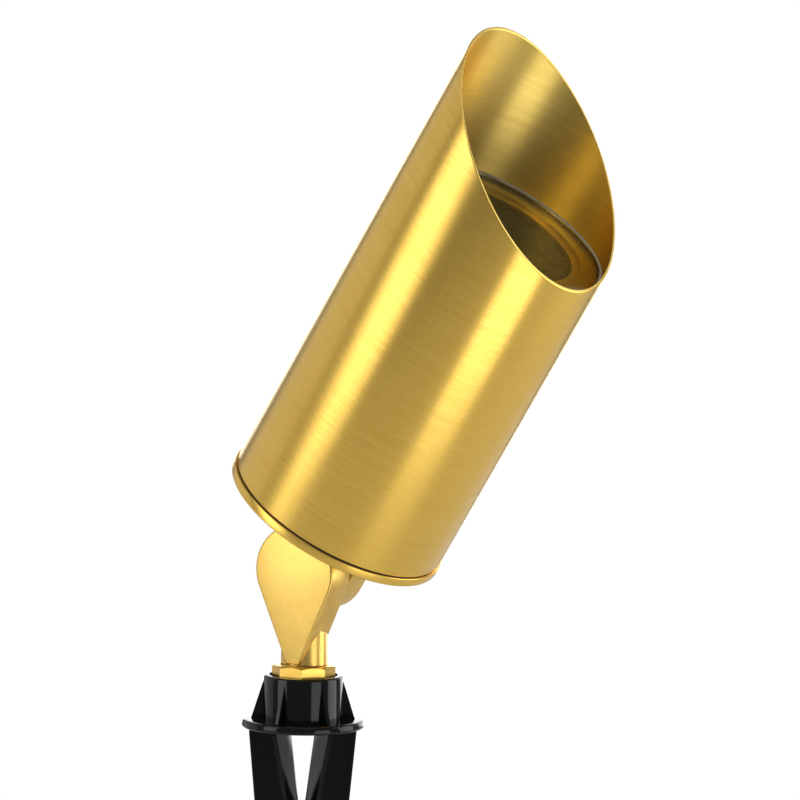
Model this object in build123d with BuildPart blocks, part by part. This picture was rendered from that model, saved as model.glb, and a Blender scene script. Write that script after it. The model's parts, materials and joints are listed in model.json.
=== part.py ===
"""Brass garden spotlight with a slant-cut cowl, on a knuckle, stem and ground spike.

Millimetres, +Z up along the stem and spike.  The origin is the centre of the
underside of the spike's flange, which is the soil line.  The head leans towards
+X and its knuckle turns about a pin along Y.
"""
import os
from math import atan2, cos, degrees, radians, sin, sqrt

from build123d import *

os.makedirs("parts", exist_ok=True)

# ---------------------------------------------------------------- sizes

# clearances
turn_clearance = 0.06       # radial, between pieces that turn on each other
seat_clearance = 0.05       # radial, between pieces that are fixed in each other
face_gap = 0.05             # between flat faces of pieces that turn on each other

# head: a drawn tube with one end cut on a slant
tube_diameter = 101.6
tube_wall = 1.2
head_length = 230.0         # underside of the cap to the cowl's tip
mouth_drop = 70.0           # tip of the cowl to its short lip, along the tube
head_lean = 32.0            # degrees from upright at rest

# rear cap
cap_overhang = 0.7
cap_thickness = 4.2
cap_edge_round = 0.8
cap_seal_thickness = 0.65
cap_seal_inset = 0.5
spigot_length = 13.0
spigot_wall = 5.4

# glass and the ring that carries it
glass_top = 159.4           # from the underside of the cap
glass_thickness = 3.0
glass_edge_gap = 0.3
gasket_thickness = 0.4
gasket_width = 1.7
bead_width = 2.2
bead_height = 1.2
seat_ring_width = 12.8      # from the tube's bore to the ring's hole
seat_land_width = 3.5       # of that, the lower step round the hole
seat_step = 1.7
seat_thickness = 3.4

# knuckle
pivot_height = 71.0
pivot_to_cap = 29.3
knuckle_radius = 19.6
stem_leaf_front = 9.3       # from the stem's axis towards -Y
stem_leaf_back = 6.2        # from the stem's axis towards +Y
leaf_tip_height = 28.8
leaf_tip_width = 6.0
leaf_edge_round = 0.8
washer_thickness = 0.75
washer_inner_gap = 1.0      # from the wire pocket's rim
washer_edge_inset = 1.4     # from the leaf's rim
head_leaf_inset = 0.6       # the ear's rim inside the leaf's
head_leaf_thickness = 14.0
foot_radius = 24.0
foot_thickness = 5.0
foot_gasket_thickness = 0.5
foot_gasket_inset = 0.5
wire_pocket_wall = 2.2      # between the knuckle screw and the pocket
wire_pocket_width = 5.4
stem_pocket_depth = 6.0
head_pocket_depth = 3.0
wire_hole_radius = 3.0
wire_passage_inset = 1.7    # from a leaf's mating face to the wire passage

# knuckle screw
pivot_screw_radius = 4.0
pivot_screw_head_radius = 6.5
pivot_screw_head_height = 7.0
pivot_screw_socket = 6.0
pivot_screw_socket_depth = 4.6
pivot_screw_edge = 0.4
pivot_screw_depth = 11.2    # into the stem's leaf
spring_washer_thickness = 1.6
spring_washer_split = 1.6
counterbore_clearance = 0.7 # radial, round the screw's head
screw_head_sink = 0.35      # the screw's head below the ear's back

# stem and locknut
stem_diameter = 21.3        # the bare neck above the locknut
thread_diameter = 20.9      # half-inch parallel pipe thread, drawn plain
stem_bottom = 2.0
stem_wall = 3.05
stem_bore_top = 38.0
neck_top = 41.0
neck_flat = 8.6             # flat behind the front of the leaf
neck_chamfer = 2.4
nut_corner_diameter = 28.4
nut_height = 6.5
nut_sides = 8
nut_turn = -15.0
nut_bevel_width = 1.3
nut_bevel_height = 0.9
grommet_length = 7.0
grommet_wall = 2.8
grommet_lip_width = 0.8
grommet_lip_clearance = 0.4 # radial, in the spike's cable hole
grommet_lip_thickness = 1.2

# ground spike
spike_turn = 33.0           # the legs face the same way as the photographed side
flange_radius = 27.3
flange_thickness = 4.0
flange_round = 1.3
collar_wall = 2.6           # round the locknut's recess
collar_height = 19.7
collar_round = 1.2
nut_recess_depth = 2.0
nut_recess_clearance = 1.1  # radial, from the locknut's corners
gusset_count = 6
gusset_thickness = 1.6
gusset_foot_inset = 4.1     # from the flange's rim
gusset_top_inset = 0.3      # into the collar
gusset_top_drop = 1.8
spike_length = 250.0
spike_point_length = 13.0
spike_tip_width = 0.8
root_land = 2.2             # plumb top of the legs and fork, so that the flange seats flat
leg_half_width = 24.0
leg_end_half_width = 2.6
leg_thickness = 3.0
rim_width = 1.6
rim_thickness = 5.4
vane_depth = 17.0
vane_end_depth = 2.2
fork_wall = 2.0
fork_inner_gap = 5.3        # half the window at the middle of its depth
fork_outer_gap = 11.3       # half the window at the front and back
window_depth = 45.3
fork_depth = 68.0
pin_mark_radius = 4.85
pin_mark_height = 0.35
pin_mark_drop = 18.0
pin_mark_offset = 15.4

# light engine
standoff_radius = 3.5
standoff_inset = 4.0        # from the heat sink's rim
standoff_count = 3
standoff_turn = 90.0
stud_radius = 1.5
stud_floor = 1.4            # left of the cap below a stud
driver_gap = 4.5            # from the standoffs
driver_room = 7.8           # between cap and driver
driver_height = 22.0
driver_lug_reach = 3.5
driver_lug_count = 2
driver_lug_radius = 4.0
driver_lug_thickness = 6.0
driver_edge = 1.5
driver_screw_bite = 4.3
small_screw_radius = 1.5
small_head_radius = 2.75
small_head_height = 2.3
sink_air_gap = 7.6          # from the tube's bore
sink_base_thickness = 6.0
sink_core_radius = 16.0
sink_fin_length = 72.0
sink_top_margin = 2.5       # round the chip's holder
sink_top_thickness = 6.0
sink_fin_count = 15
sink_fin_thickness = 1.8
sink_fin_turn = 12.0
lead_radius = 0.9
lead_hole_radius = 1.5
lead_offset_x = 4.0
lead_offset_y = 11.5
pad_thickness = 0.4
board_thickness = 1.6
chip_side = 18.0
chip_thickness = 0.6
chip_dome_inset = 1.0       # from the chip's sides
chip_dome_thickness = 0.5
chip_corner_gap = 0.17      # from the chip's corners to its holder
holder_width = 8.6
holder_overhang = 1.5       # past the board's rim
holder_thickness = 3.2
holder_screw_count = 2
holder_screw_floor = 1.0    # left of the heat sink's top below a screw
reflector_throat_gap = 2.6  # round the chip's dome
reflector_neck_height = 2.9
reflector_wall = 1.4
reflector_flange_width = 3.2
reflector_flange_thickness = 1.5
optic_thickness = 1.8
optic_overlap = 3.2         # under the seat ring, past its hole
optic_gap = 0.6
optic_groove_count = 13
optic_groove_depth = 0.4
optic_groove_width = 1.0
clip_wall = 2.2
clip_lip_width = 1.2
clip_lip_thickness = 0.3

# screws that hold the head's knuckle to the cap
foot_screw_inset = 6.0      # from the foot's rim
foot_screw_count = 4
foot_screw_turn = 45.0
foot_screw_radius = 2.0
foot_screw_head_radius = 3.6
foot_screw_head_height = 2.6
foot_screw_floor = 0.6      # left of the foot below a screw

# ---------------------------------------------------------------- worked out

tube_radius = tube_diameter / 2
bore_radius = tube_radius - tube_wall
cap_radius = tube_radius + cap_overhang
spigot_radius = bore_radius - turn_clearance
seat_hole_radius = bore_radius - seat_ring_width
seat_land_radius = seat_hole_radius + seat_land_width
tube_start = cap_thickness + cap_seal_thickness + face_gap

wire_pocket_inner = pivot_screw_radius + wire_pocket_wall
wire_pocket_outer = wire_pocket_inner + wire_pocket_width
washer_inner_radius = wire_pocket_outer + washer_inner_gap
washer_outer_radius = knuckle_radius - washer_edge_inset
head_leaf_radius = knuckle_radius - head_leaf_inset
counterbore_radius = pivot_screw_head_radius + counterbore_clearance
counterbore_depth = (
    spring_washer_thickness + face_gap + pivot_screw_head_height + screw_head_sink
)
foot_screw_circle = foot_radius - foot_screw_inset
foot_screw_bite = foot_thickness - foot_screw_floor

stem_radius = stem_diameter / 2
thread_radius = thread_diameter / 2
stem_bore_radius = thread_radius - stem_wall
grommet_hole_radius = stem_bore_radius - grommet_wall
grommet_lip_radius = stem_bore_radius + grommet_lip_width
cable_hole_radius = grommet_lip_radius + grommet_lip_clearance
nut_radius = nut_corner_diameter / 2
nut_recess_radius = nut_radius + nut_recess_clearance
collar_radius = nut_recess_radius + collar_wall
gusset_foot_radius = flange_radius - gusset_foot_inset
gusset_top_radius = collar_radius - gusset_top_inset
collar_top = flange_thickness + collar_height
nut_bottom = collar_top - nut_recess_depth + face_gap
nut_top = nut_bottom + nut_height
neck_start = nut_top + face_gap
pocket_middle = (wire_pocket_inner + wire_pocket_outer) / 2

lean_x, lean_z = sin(radians(head_lean)), cos(radians(head_lean))
head_axis = (lean_x, 0, lean_z)             # along the tube, towards its mouth
head_side = (lean_z, 0, -lean_x)            # across the tube, towards the lower side
cap_centre = (pivot_to_cap * lean_x, 0, pivot_height + pivot_to_cap * lean_z)
head = Plane(origin=cap_centre, x_dir=head_side, z_dir=head_axis)
head_section = Plane(origin=cap_centre, x_dir=head_side, z_dir=(0, -1, 0))
tube_axis = Axis(cap_centre, head_axis)

head_leaf_front = stem_leaf_back + washer_thickness + face_gap
head_leaf_back = head_leaf_front + head_leaf_thickness
screw_seat = head_leaf_back - counterbore_depth
foot_bottom = -foot_gasket_thickness - foot_thickness

optic_radius = seat_hole_radius + optic_overlap
sink_radius = bore_radius - sink_air_gap
standoff_circle = sink_radius - standoff_inset
standoff_length = driver_room + driver_height
stud_length = cap_thickness - stud_floor
driver_radius = standoff_circle - standoff_radius - driver_gap
driver_lug_circle = driver_radius + driver_lug_reach
chip_dome_radius = chip_side / 2 - chip_dome_inset
holder_inner_radius = chip_side / sqrt(2) + chip_corner_gap
holder_outer_radius = holder_inner_radius + holder_width
holder_screw_circle = (holder_inner_radius + holder_outer_radius) / 2
holder_screw_bite = sink_top_thickness - holder_screw_floor
board_radius = holder_outer_radius - holder_overhang
sink_top_radius = holder_outer_radius + sink_top_margin
reflector_throat_radius = chip_dome_radius + reflector_throat_gap

sink_bottom = cap_thickness + standoff_length
driver_bottom = sink_bottom - driver_height
fin_bottom = sink_bottom + sink_base_thickness
fin_top = fin_bottom + sink_fin_length
sink_top = fin_top + sink_top_thickness
board_bottom = sink_top + pad_thickness
board_top = board_bottom + board_thickness
holder_top = board_top + holder_thickness
glass_bottom = glass_top - glass_thickness
seat_top = glass_bottom - gasket_thickness
seat_bottom = seat_top - seat_thickness
optic_top = seat_bottom - optic_gap
optic_bottom = optic_top - optic_thickness
clip_radius = optic_radius + seat_clearance + clip_wall


def across(y):
    """Plane square to Y at a given y: x across, z up, facing -Y."""
    return Plane(origin=(0, y, 0), x_dir=(1, 0, 0), z_dir=(0, -1, 0))


def pivot_plane(y):
    """Plane on the knuckle's pin at a given y, facing +Y."""
    return Plane(origin=(0, y, pivot_height), x_dir=(1, 0, 0), z_dir=(0, 1, 0))


def write(name, piece):
    """Label a finished piece and write it as one STEP file."""
    piece.part.label = name
    export_step(piece.part, f"parts/{name}.step")


# ---------------------------------------------------------------- ground spike

spike_plane = Plane.XY.rotated((0, 0, spike_turn))
leg_plane = Plane(origin=(0, 0, 0), x_dir=spike_plane.x_dir, z_dir=-spike_plane.y_dir)
vane_plane = Plane(origin=(0, 0, 0), x_dir=spike_plane.y_dir, z_dir=spike_plane.x_dir)
spike_shank = spike_length - spike_point_length
gusset_root_radius = (collar_radius + nut_recess_radius) / 2


def vane_reach(depth):
    """Front-to-back reach of the spike at a depth under the flange, plumb over the land."""
    share = max(depth - root_land, 0) / (spike_shank - root_land)
    return vane_depth - (vane_depth - vane_end_depth) * share


def fork_corners(depth, inner, outer, side, face):
    """Corners of one wall of the fork at a depth, from mid depth to front or back."""
    reach = face * vane_reach(depth)
    corners = [(inner, 0), (outer, reach), (outer + fork_wall, reach), (inner + fork_wall, 0)]
    return [(side * x, y) for x, y in corners]


# the window's outer half gap where its walls first meet at mid depth
fork_gap_at_window = fork_outer_gap * (fork_depth - window_depth) / (fork_depth - root_land)

with BuildPart() as ground_spike:
    # flange and collar
    with BuildSketch(spike_plane):
        Circle(flange_radius)
    extrude(amount=flange_thickness)
    fillet(ground_spike.edges().filter_by(GeomType.CIRCLE), flange_round)
    with BuildSketch(spike_plane.offset(flange_thickness)):
        Circle(collar_radius)
    extrude(amount=collar_height)
    fillet(ground_spike.edges().group_by(Axis.Z)[-1], collar_round)
    # gussets from the collar to the flange
    for index in range(gusset_count):
        turn = radians(spike_turn + index * 360 / gusset_count)
        radial = Plane(
            origin=(0, 0, 0), x_dir=(cos(turn), sin(turn), 0), z_dir=(sin(turn), -cos(turn), 0)
        )
        with BuildSketch(radial):
            Polygon(
                (gusset_root_radius, flange_thickness - flange_round),
                (gusset_foot_radius, flange_thickness - flange_round),
                (gusset_foot_radius, flange_thickness),
                (gusset_top_radius, collar_top - gusset_top_drop),
                (gusset_root_radius, collar_top - gusset_top_drop),
                align=None,
            )
        extrude(amount=gusset_thickness / 2, both=True)
    # socket for the stem, recess for the locknut, hole for the cable
    with BuildSketch(spike_plane.offset(collar_top)):
        Circle(nut_recess_radius)
    extrude(amount=-nut_recess_depth, mode=Mode.SUBTRACT)
    with BuildSketch(spike_plane.offset(collar_top)):
        Circle(thread_radius + turn_clearance)
    extrude(amount=-(collar_top - stem_bottom + face_gap), mode=Mode.SUBTRACT)
    with BuildSketch(spike_plane.offset(collar_top)):
        Circle(cable_hole_radius)
    extrude(amount=-collar_top, mode=Mode.SUBTRACT)
    # two flat legs with raised outer rims
    for side in (-1, 1):
        with BuildSketch(leg_plane):
            Polygon(
                (side * (fork_inner_gap + fork_wall / 2), 0),
                (side * leg_half_width, 0),
                (side * leg_half_width, -root_land),
                (side * leg_end_half_width, -spike_shank),
                (0, -spike_shank),
                (0, -window_depth + fork_wall / 2),
                (side * (fork_inner_gap + fork_wall / 2), -root_land),
                align=None,
            )
        extrude(amount=leg_thickness / 2, both=True)
        with BuildSketch(leg_plane):
            Polygon(
                (side * (leg_half_width - rim_width), 0),
                (side * leg_half_width, 0),
                (side * leg_half_width, -root_land),
                (side * leg_end_half_width, -spike_shank),
                (side * (leg_end_half_width - rim_width), -spike_shank),
                (side * (leg_half_width - rim_width), -root_land),
                align=None,
            )
        extrude(amount=rim_thickness / 2, both=True)
    # the fork: front and back vanes that part around the cable window
    for side in (-1, 1):
        for face in (-1, 1):
            stations = [
                (0, fork_inner_gap, fork_outer_gap),
                (root_land, fork_inner_gap, fork_outer_gap),
                (window_depth, 0, fork_gap_at_window),
                (fork_depth, 0, 0),
            ]
            for upper, lower in zip(stations, stations[1:]):
                with BuildSketch(spike_plane.offset(-upper[0])):
                    Polygon(*fork_corners(*upper, side, face), align=None)
                with BuildSketch(spike_plane.offset(-lower[0])):
                    Polygon(*fork_corners(*lower, side, face), align=None)
                loft(ruled=True)
    with BuildSketch(vane_plane):
        Polygon(
            (-vane_reach(fork_depth), -fork_depth),
            (vane_reach(fork_depth), -fork_depth),
            (vane_end_depth, -spike_shank),
            (-vane_end_depth, -spike_shank),
            align=None,
        )
    extrude(amount=fork_wall, both=True)
    # point
    with BuildSketch(spike_plane.offset(-spike_shank)):
        Rectangle(2 * leg_end_half_width, rim_thickness)
    with BuildSketch(spike_plane.offset(-spike_length)):
        Rectangle(spike_tip_width, spike_tip_width)
    loft(ruled=True)
    # round marks left by the mould's pins
    for side in (-1, 1):
        with BuildSketch(leg_plane):
            with Locations((side * pin_mark_offset, -pin_mark_drop)):
                Circle(pin_mark_radius)
        extrude(amount=leg_thickness / 2 + pin_mark_height, both=True)
write("ground_spike", ground_spike)

# ---------------------------------------------------------------- stem

with BuildPart() as stem_knuckle:
    # teardrop leaf
    with BuildSketch(across(stem_leaf_back)):
        with Locations((0, pivot_height)):
            Circle(knuckle_radius)
        with Locations((0, leaf_tip_height)):
            Rectangle(leaf_tip_width, leaf_edge_round, align=(Align.CENTER, Align.MIN))
        make_hull()
    extrude(amount=stem_leaf_back + stem_leaf_front)
    fillet(stem_knuckle.faces().filter_by(Axis.Y).edges(), leaf_edge_round)
    # neck and threaded stem, with the neck's front cut back behind the leaf
    with BuildSketch(Plane.XY.offset(neck_start)):
        Circle(stem_radius)
        with Locations((0, -stem_radius)):
            Rectangle(2 * stem_radius, 2 * (stem_radius - neck_flat), mode=Mode.SUBTRACT)
    extrude(amount=neck_top - neck_start)
    neck_arcs = stem_knuckle.edges().filter_by(GeomType.CIRCLE)
    neck_rim = neck_arcs.filter_by_position(Axis.Z, neck_top - face_gap, neck_top + face_gap)
    chamfer(neck_rim, neck_chamfer)
    with BuildSketch(Plane.XY.offset(neck_start)):
        Circle(thread_radius)
    extrude(amount=-(neck_start - stem_bottom))
    # cable way: wide bore, narrow passage, ring pocket round the screw
    with BuildSketch(Plane.XY.offset(stem_bottom)):
        Circle(stem_bore_radius)
    extrude(amount=stem_bore_top - stem_bottom, mode=Mode.SUBTRACT)
    with BuildSketch(Plane.XY.offset(stem_bore_top)):
        with Locations((0, stem_leaf_back - wire_passage_inset - wire_hole_radius)):
            Circle(wire_hole_radius)
    extrude(amount=pivot_height - pocket_middle - stem_bore_top, mode=Mode.SUBTRACT)
    with BuildSketch(pivot_plane(stem_leaf_back)):
        Circle(wire_pocket_outer)
        Circle(wire_pocket_inner, mode=Mode.SUBTRACT)
    extrude(amount=-stem_pocket_depth, mode=Mode.SUBTRACT)
    # blind hole for the knuckle screw
    with BuildSketch(pivot_plane(stem_leaf_back)):
        Circle(pivot_screw_radius + turn_clearance)
    extrude(amount=-(pivot_screw_depth + face_gap), mode=Mode.SUBTRACT)
write("stem_knuckle", stem_knuckle)

with BuildPart() as stem_grommet:
    with BuildSketch(Plane.XY.offset(stem_bottom)):
        Circle(stem_bore_radius - seat_clearance)
        Circle(grommet_hole_radius, mode=Mode.SUBTRACT)
    extrude(amount=grommet_length)
    with BuildSketch(Plane.XY.offset(stem_bottom)):
        Circle(grommet_lip_radius)
        Circle(grommet_hole_radius, mode=Mode.SUBTRACT)
    extrude(amount=-grommet_lip_thickness)
write("stem_grommet", stem_grommet)

with BuildPart() as locknut:
    with BuildSketch(Plane.XY.offset(nut_bottom)):
        RegularPolygon(nut_radius, nut_sides, rotation=nut_turn)
        Circle(thread_radius + turn_clearance, mode=Mode.SUBTRACT)
    extrude(amount=nut_height)
    # the corners are turned to a bevel, top and bottom
    for end, inward in ((nut_bottom, 1), (nut_top, -1)):
        with BuildSketch(Plane.XZ):
            Polygon(
                (nut_radius - nut_bevel_width, end),
                (nut_radius + nut_bevel_width, end),
                (nut_radius + nut_bevel_width, end + 2 * inward * nut_bevel_height),
                align=None,
            )
        revolve(axis=Axis.Z, mode=Mode.SUBTRACT)
write("locknut", locknut)

with BuildPart() as pivot_washer:
    with BuildSketch(pivot_plane(stem_leaf_back)):
        Circle(washer_outer_radius)
        Circle(washer_inner_radius, mode=Mode.SUBTRACT)
    extrude(amount=washer_thickness)
write("pivot_washer", pivot_washer)

# ---------------------------------------------------------------- knuckle screw

screw_tip = stem_leaf_back - pivot_screw_depth
head_start = screw_seat + spring_washer_thickness + face_gap

with BuildPart() as pivot_screw:
    with BuildSketch(pivot_plane(screw_tip)):
        Circle(pivot_screw_radius)
    extrude(amount=head_start - screw_tip)
    with BuildSketch(pivot_plane(head_start)):
        Circle(pivot_screw_head_radius)
    extrude(amount=pivot_screw_head_height)
    chamfer(pivot_screw.edges().group_by(Axis.Y)[-1], pivot_screw_edge)
    with BuildSketch(pivot_plane(head_start + pivot_screw_head_height)):
        RegularPolygon(pivot_screw_socket / 2, 6, major_radius=False)
    extrude(amount=-pivot_screw_socket_depth, mode=Mode.SUBTRACT)
write("pivot_screw", pivot_screw)

with BuildPart() as spring_washer:
    with BuildSketch(pivot_plane(screw_seat)):
        Circle(pivot_screw_head_radius)
        Circle(pivot_screw_radius + turn_clearance, mode=Mode.SUBTRACT)
        # the split
        with Locations((0, pivot_screw_head_radius)):
            Rectangle(spring_washer_split, pivot_screw_head_radius, mode=Mode.SUBTRACT)
    extrude(amount=spring_washer_thickness)
write("spring_washer", spring_washer)

# ---------------------------------------------------------------- head's knuckle

passage_y = head_leaf_front + wire_passage_inset + wire_hole_radius
ear_back_plane = Plane(
    origin=(0, head_leaf_back, pivot_height), x_dir=head_side, z_dir=(0, -1, 0)
)

with BuildPart() as head_knuckle:
    # ear beside the stem's leaf
    with BuildSketch(ear_back_plane):
        Circle(head_leaf_radius)
        with Locations((0, pivot_to_cap + foot_bottom)):
            Rectangle(2 * head_leaf_radius, foot_thickness / 2, align=(Align.CENTER, Align.MIN))
        make_hull()
    extrude(amount=head_leaf_thickness)
    fillet(head_knuckle.faces().filter_by(Axis.Y).edges(), leaf_edge_round)
    # round foot under the cap
    with BuildSketch(head.offset(foot_bottom)):
        Circle(foot_radius)
    extrude(amount=foot_thickness)
    # ring pocket, screw hole and counterbore
    with BuildSketch(pivot_plane(head_leaf_front)):
        Circle(wire_pocket_outer)
        Circle(wire_pocket_inner, mode=Mode.SUBTRACT)
    extrude(amount=head_pocket_depth, mode=Mode.SUBTRACT)
    with BuildSketch(pivot_plane(head_leaf_front)):
        Circle(pivot_screw_radius + turn_clearance)
    extrude(amount=head_leaf_thickness, mode=Mode.SUBTRACT)
    with BuildSketch(pivot_plane(screw_seat)):
        Circle(counterbore_radius)
    extrude(amount=counterbore_depth, mode=Mode.SUBTRACT)
    # wire passage up to the cap, and blind holes for the cap's screws
    with BuildSketch(head.offset(-foot_gasket_thickness)):
        with Locations((0, passage_y)):
            Circle(wire_hole_radius)
    extrude(amount=-(pivot_to_cap - foot_gasket_thickness - pocket_middle), mode=Mode.SUBTRACT)
    with BuildSketch(head.offset(-foot_gasket_thickness)):
        with PolarLocations(foot_screw_circle, foot_screw_count, start_angle=foot_screw_turn):
            Circle(foot_screw_radius + seat_clearance)
    extrude(amount=-foot_screw_bite, mode=Mode.SUBTRACT)
write("head_knuckle", head_knuckle)

with BuildPart() as foot_gasket:
    with BuildSketch(head.offset(-foot_gasket_thickness)):
        Circle(foot_radius - foot_gasket_inset)
        with Locations((0, passage_y)):
            Circle(wire_hole_radius, mode=Mode.SUBTRACT)
        with PolarLocations(foot_screw_circle, foot_screw_count, start_angle=foot_screw_turn):
            Circle(foot_screw_radius + seat_clearance, mode=Mode.SUBTRACT)
    extrude(amount=foot_gasket_thickness)
write("foot_gasket", foot_gasket)

with BuildPart() as foot_screws:
    with BuildSketch(head.offset(-foot_gasket_thickness - foot_screw_bite)):
        with PolarLocations(foot_screw_circle, foot_screw_count, start_angle=foot_screw_turn):
            Circle(foot_screw_radius)
    extrude(amount=foot_screw_bite + foot_gasket_thickness + cap_thickness)
    with BuildSketch(head.offset(cap_thickness)):
        with PolarLocations(foot_screw_circle, foot_screw_count, start_angle=foot_screw_turn):
            Circle(foot_screw_head_radius)
    extrude(amount=foot_screw_head_height)
write("foot_screws", foot_screws)

# ---------------------------------------------------------------- rear cap

with BuildPart() as rear_cap:
    with BuildSketch(head):
        Circle(cap_radius)
    extrude(amount=cap_thickness)
    cap_rims = rear_cap.edges().filter_by(GeomType.CIRCLE)
    fillet(cap_rims.sort_by(tube_axis)[0], cap_edge_round)
    with BuildSketch(head.offset(cap_thickness)):
        Circle(spigot_radius)
        Circle(spigot_radius - spigot_wall, mode=Mode.SUBTRACT)
    extrude(amount=spigot_length)
    with BuildSketch(head):
        with Locations((0, passage_y)):
            Circle(wire_hole_radius)
        with PolarLocations(foot_screw_circle, foot_screw_count, start_angle=foot_screw_turn):
            Circle(foot_screw_radius + seat_clearance)
    extrude(amount=cap_thickness, mode=Mode.SUBTRACT)
    with BuildSketch(head.offset(cap_thickness)):
        with PolarLocations(standoff_circle, standoff_count, start_angle=standoff_turn):
            Circle(stud_radius + seat_clearance)
    extrude(amount=-(stud_length + seat_clearance), mode=Mode.SUBTRACT)
write("rear_cap", rear_cap)

with BuildPart() as cap_seal:
    with BuildSketch(head.offset(cap_thickness)):
        Circle(tube_radius - cap_seal_inset)
        Circle(spigot_radius + seat_clearance, mode=Mode.SUBTRACT)
    extrude(amount=cap_seal_thickness)
write("cap_seal", cap_seal)

# ---------------------------------------------------------------- light engine

with BuildPart() as standoffs:
    with BuildSketch(head.offset(cap_thickness)):
        with PolarLocations(standoff_circle, standoff_count, start_angle=standoff_turn):
            RegularPolygon(standoff_radius, 6)
    extrude(amount=standoff_length)
    with BuildSketch(head.offset(sink_bottom)):
        with PolarLocations(standoff_circle, standoff_count, start_angle=standoff_turn):
            Circle(stud_radius + seat_clearance)
    extrude(amount=-2 * stud_length, mode=Mode.SUBTRACT)
    with BuildSketch(head.offset(cap_thickness)):
        with PolarLocations(standoff_circle, standoff_count, start_angle=standoff_turn):
            Circle(stud_radius)
    extrude(amount=-stud_length)
write("standoffs", standoffs)

with BuildPart() as driver:
    with BuildSketch(head.offset(driver_bottom)):
        Circle(driver_radius)
    extrude(amount=driver_height)
    chamfer(driver.edges().filter_by(GeomType.CIRCLE).sort_by(tube_axis)[0], driver_edge)
    with BuildSketch(head.offset(sink_bottom)):
        with PolarLocations(driver_lug_circle, driver_lug_count):
            Circle(driver_lug_radius)
    extrude(amount=-driver_lug_thickness)
    with BuildSketch(head.offset(sink_bottom)):
        with PolarLocations(driver_lug_circle, driver_lug_count):
            Circle(small_screw_radius + seat_clearance)
    extrude(amount=-driver_lug_thickness, mode=Mode.SUBTRACT)
write("driver", driver)

with BuildPart() as driver_screws:
    with BuildSketch(head.offset(sink_bottom - driver_lug_thickness)):
        with PolarLocations(driver_lug_circle, driver_lug_count):
            Circle(small_screw_radius)
    extrude(amount=driver_lug_thickness + driver_screw_bite)
    with BuildSketch(head.offset(sink_bottom - driver_lug_thickness)):
        with PolarLocations(driver_lug_circle, driver_lug_count):
            Circle(small_head_radius)
    extrude(amount=-small_head_height)
write("driver_screws", driver_screws)

with BuildPart() as heat_sink:
    with BuildSketch(head.offset(sink_bottom)):
        Circle(sink_radius)
    extrude(amount=sink_base_thickness)
    with BuildSketch(head.offset(fin_bottom)):
        Circle(sink_core_radius)
    extrude(amount=sink_fin_length)
    with BuildSketch(head.offset(fin_top)):
        Circle(sink_top_radius)
    extrude(amount=sink_top_thickness)
    fin_start = sink_core_radius - sink_fin_thickness
    with BuildSketch(head.offset(fin_bottom)):
        with PolarLocations(fin_start, sink_fin_count, start_angle=sink_fin_turn):
            Rectangle(
                sink_radius - fin_start, sink_fin_thickness, align=(Align.MIN, Align.CENTER)
            )
    extrude(amount=sink_fin_length)
    # holes for the leads and for the screws
    with BuildSketch(head.offset(sink_bottom)):
        with Locations((-lead_offset_x, lead_offset_y), (lead_offset_x, lead_offset_y)):
            Circle(lead_hole_radius)
    extrude(amount=sink_top - sink_bottom, mode=Mode.SUBTRACT)
    with BuildSketch(head.offset(sink_bottom)):
        with PolarLocations(standoff_circle, standoff_count, start_angle=standoff_turn):
            Circle(small_screw_radius + seat_clearance)
        with PolarLocations(driver_lug_circle, driver_lug_count):
            Circle(small_screw_radius + seat_clearance)
    extrude(amount=sink_base_thickness, mode=Mode.SUBTRACT)
    with BuildSketch(head.offset(sink_top)):
        with PolarLocations(holder_screw_circle, holder_screw_count):
            Circle(small_screw_radius + seat_clearance)
    extrude(amount=-holder_screw_bite, mode=Mode.SUBTRACT)
write("heat_sink", heat_sink)

with BuildPart() as sink_screws:
    with BuildSketch(head.offset(fin_bottom)):
        with PolarLocations(standoff_circle, standoff_count, start_angle=standoff_turn):
            Circle(small_screw_radius)
    extrude(amount=-(sink_base_thickness + stud_length))
    with BuildSketch(head.offset(fin_bottom)):
        with PolarLocations(standoff_circle, standoff_count, start_angle=standoff_turn):
            Circle(small_head_radius)
    extrude(amount=small_head_height)
write("sink_screws", sink_screws)

with BuildPart() as thermal_pad:
    with BuildSketch(head.offset(sink_top)):
        Circle(board_radius - seat_clearance)
        with PolarLocations(holder_screw_circle, holder_screw_count):
            Circle(small_screw_radius + seat_clearance, mode=Mode.SUBTRACT)
        with Locations((-lead_offset_x, lead_offset_y), (lead_offset_x, lead_offset_y)):
            Circle(lead_hole_radius, mode=Mode.SUBTRACT)
    extrude(amount=pad_thickness)
write("thermal_pad", thermal_pad)

with BuildPart() as led_board:
    with BuildSketch(head.offset(board_bottom)):
        Circle(board_radius)
        with PolarLocations(holder_screw_circle, holder_screw_count):
            Circle(small_screw_radius + seat_clearance, mode=Mode.SUBTRACT)
    extrude(amount=board_thickness)
write("led_board", led_board)

with BuildPart() as led_leads:
    with BuildSketch(head.offset(sink_bottom)):
        with Locations((-lead_offset_x, lead_offset_y), (lead_offset_x, lead_offset_y)):
            Circle(lead_radius)
    extrude(amount=board_bottom - sink_bottom)
write("led_leads", led_leads)

with BuildPart() as led_chip:
    with BuildSketch(head.offset(board_top)):
        Rectangle(chip_side, chip_side)
    extrude(amount=chip_thickness)
    with BuildSketch(head.offset(board_top + chip_thickness)):
        Circle(chip_dome_radius)
    extrude(amount=chip_dome_thickness)
write("led_chip", led_chip)

with BuildPart() as chip_holder:
    with BuildSketch(head.offset(board_top)):
        Circle(holder_outer_radius)
        Circle(holder_inner_radius, mode=Mode.SUBTRACT)
        with PolarLocations(holder_screw_circle, holder_screw_count):
            Circle(small_screw_radius + seat_clearance, mode=Mode.SUBTRACT)
    extrude(amount=holder_thickness)
write("chip_holder", chip_holder)

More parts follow.
